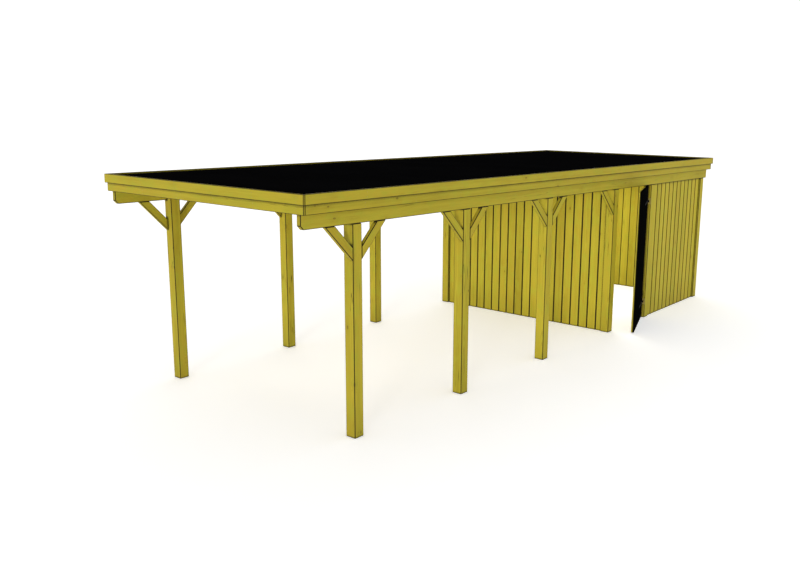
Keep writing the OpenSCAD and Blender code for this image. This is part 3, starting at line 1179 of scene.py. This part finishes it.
class CARPORT_OT_stage(Maker, bpy.types.Operator):
    """Set the camera, the floor and the lights"""
    bl_idname = "carport.stage"
    bl_label = "Stage"

    def execute(self, context):
        scene, settings = context.scene, context.scene.carport_stage
        level = math.cos(settings.tilt)
        ahead = (math.sin(settings.turn) * level, math.cos(settings.turn) * level,
                 math.sin(settings.tilt))
        camera = self.aimed("Camera", bpy.data.cameras.new("Camera"), ahead, settings.eye)
        camera.data.lens = settings.lens
        camera.data.clip_end = 1000
        scene.camera = camera
        self.floor(scene, settings)
        self.sky(scene, settings)
        self.lights(settings)
        scene.view_settings.view_transform = "Standard"
        return {"FINISHED"}

    def aimed(self, name, data, aim, place=(0, 0, 0)):
        """Puts a camera or a light in the scene, looking along the aim."""
        thing = bpy.data.objects.new(name, data)
        bpy.context.scene.collection.objects.link(thing)
        thing.location = place
        thing.rotation_mode = "QUATERNION"
        thing.rotation_quaternion = Vector(aim).to_track_quat("-Z", "Y")
        return thing

    def floor(self, scene, settings):
        bm = bmesh.new()
        bmesh.ops.create_circle(bm, cap_ends=True, segments=96, radius=settings.floor_size)
        bmesh.ops.translate(bm, verts=bm.verts, vec=(CAD_BOX[0] + CAD_BOX[1]) / 2)
        for vertex in bm.verts:
            vertex.co.z = CAD_BOX[0].z
        floor = bpy.data.objects.new("studio_floor", mesh_of(bm, "studio_floor"))
        scene.collection.objects.link(floor)
        material, w = new_material("studio_floor")
        place = w.add("ShaderNodeTexCoord").outputs["Object"]
        mottle = w.noise(place, (0.8, 0.8, 0.8), 4.0)["Fac"]
        body = w.mix(mottle, rgba(settings.floor), rgba(settings.floor, 0.985))
        finish_material(w, body, 0.9, mottle, 0.05, 0.0, **{
            "Emission Color": (1, 1, 1, 1), "Emission Strength": settings.glow})
        floor.data.materials.append(material)

    def sky(self, scene, settings):
        """Light all round that is strongest near the horizon."""
        scene.world = bpy.data.worlds.new("Studio")
        scene.world.use_nodes = True
        w = Wiring(scene.world.node_tree)
        sky = w.tree.nodes["Background"]
        sky.inputs["Color"].default_value = (1, 1, 1, 1)
        height = w.split(w.add("ShaderNodeTexCoord").outputs["Generated"])[2]
        w.feed(sky, "Strength", w.ramp(height, 0.12, 0.7, settings.sky * 1.1,
                                       settings.sky * 0.6, True))

    def lights(self, settings):
        """Two soft keys, a fill inside the room and one under the open roof."""
        for name, share, spread, aim in (("Key", 1.0, 12, (-0.442, 0.892, -0.09)),
                                         ("Rim", 0.4, 60, (0.6, -0.7, -0.5))):
            sun = self.aimed(name, bpy.data.lights.new(name, "SUN"), aim)
            sun.data.energy = settings.key * share
            sun.data.angle = math.radians(spread)
        front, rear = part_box("front_wall"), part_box("rear_wall")
        middle, top, clear = (front[0].x + front[1].x) / 2, front[1].z, 0.3
        in_room = (middle, (front[1].y + rear[0].y) / 2, top - clear)
        in_bay = (middle, CAD_BOX[0].y + clear, top / 2)
        for name, power, size, spread, place, aim in (
                ("Room fill", settings.fill, 1.8, 180, in_room, -UP),
                ("Bay fill", settings.bay, 1.5, 70, in_bay, Y_AXIS)):
            light = self.aimed(name, bpy.data.lights.new(name, "AREA"), aim, place)
            light.data.shape, light.data.size = "SQUARE", size
            light.data.spread = math.radians(spread)
            light.data.energy = power
            light.visible_camera = False


OPERATORS = (
    CARPORT_OT_stage, CARPORT_OT_posts, CARPORT_OT_beams, CARPORT_OT_braces,
    CARPORT_OT_rafters, CARPORT_OT_fascias, CARPORT_OT_walls, CARPORT_OT_roof_boarding,
    CARPORT_OT_membrane, CARPORT_OT_door, CARPORT_OT_hinges, CARPORT_OT_screws,
)
GROUPS = {
    "carport_timber": CARPORT_PG_timber,
    "carport_boards": CARPORT_PG_boards,
    "carport_roof": CARPORT_PG_roof,
    "carport_door": CARPORT_PG_door,
    "carport_fixings": CARPORT_PG_fixings,
    "carport_stage": CARPORT_PG_stage,
}


class CARPORT_PT_sidebar(bpy.types.Panel):
    """Sizes and colours of the carport, and its makers"""
    bl_idname = "CARPORT_PT_sidebar"
    bl_label = "Timber carport"
    bl_space_type = "VIEW_3D"
    bl_region_type = "UI"
    bl_category = "Carport"

    def draw(self, context):
        for name in GROUPS:
            box = self.layout.box()
            box.label(text=name.split("_")[1].capitalize())
            settings = getattr(context.scene, name)
            for key in settings.__annotations__:
                box.prop(settings, key)
        for operator in OPERATORS:
            self.layout.operator(operator.bl_idname)


def register():
    for cls in (*GROUPS.values(), *OPERATORS, CARPORT_PT_sidebar):
        bpy.utils.register_class(cls)
    for name, group in GROUPS.items():
        setattr(bpy.types.Scene, name, PointerProperty(type=group))


def unregister():
    for name in GROUPS:
        delattr(bpy.types.Scene, name)
    for cls in reversed((*GROUPS.values(), *OPERATORS, CARPORT_PT_sidebar)):
        bpy.utils.unregister_class(cls)


def main():
    register()
    for operator in OPERATORS:
        group, name = operator.bl_idname.split(".")
        getattr(getattr(bpy.ops, group), name)()


if __name__ == "__main__":
    main()
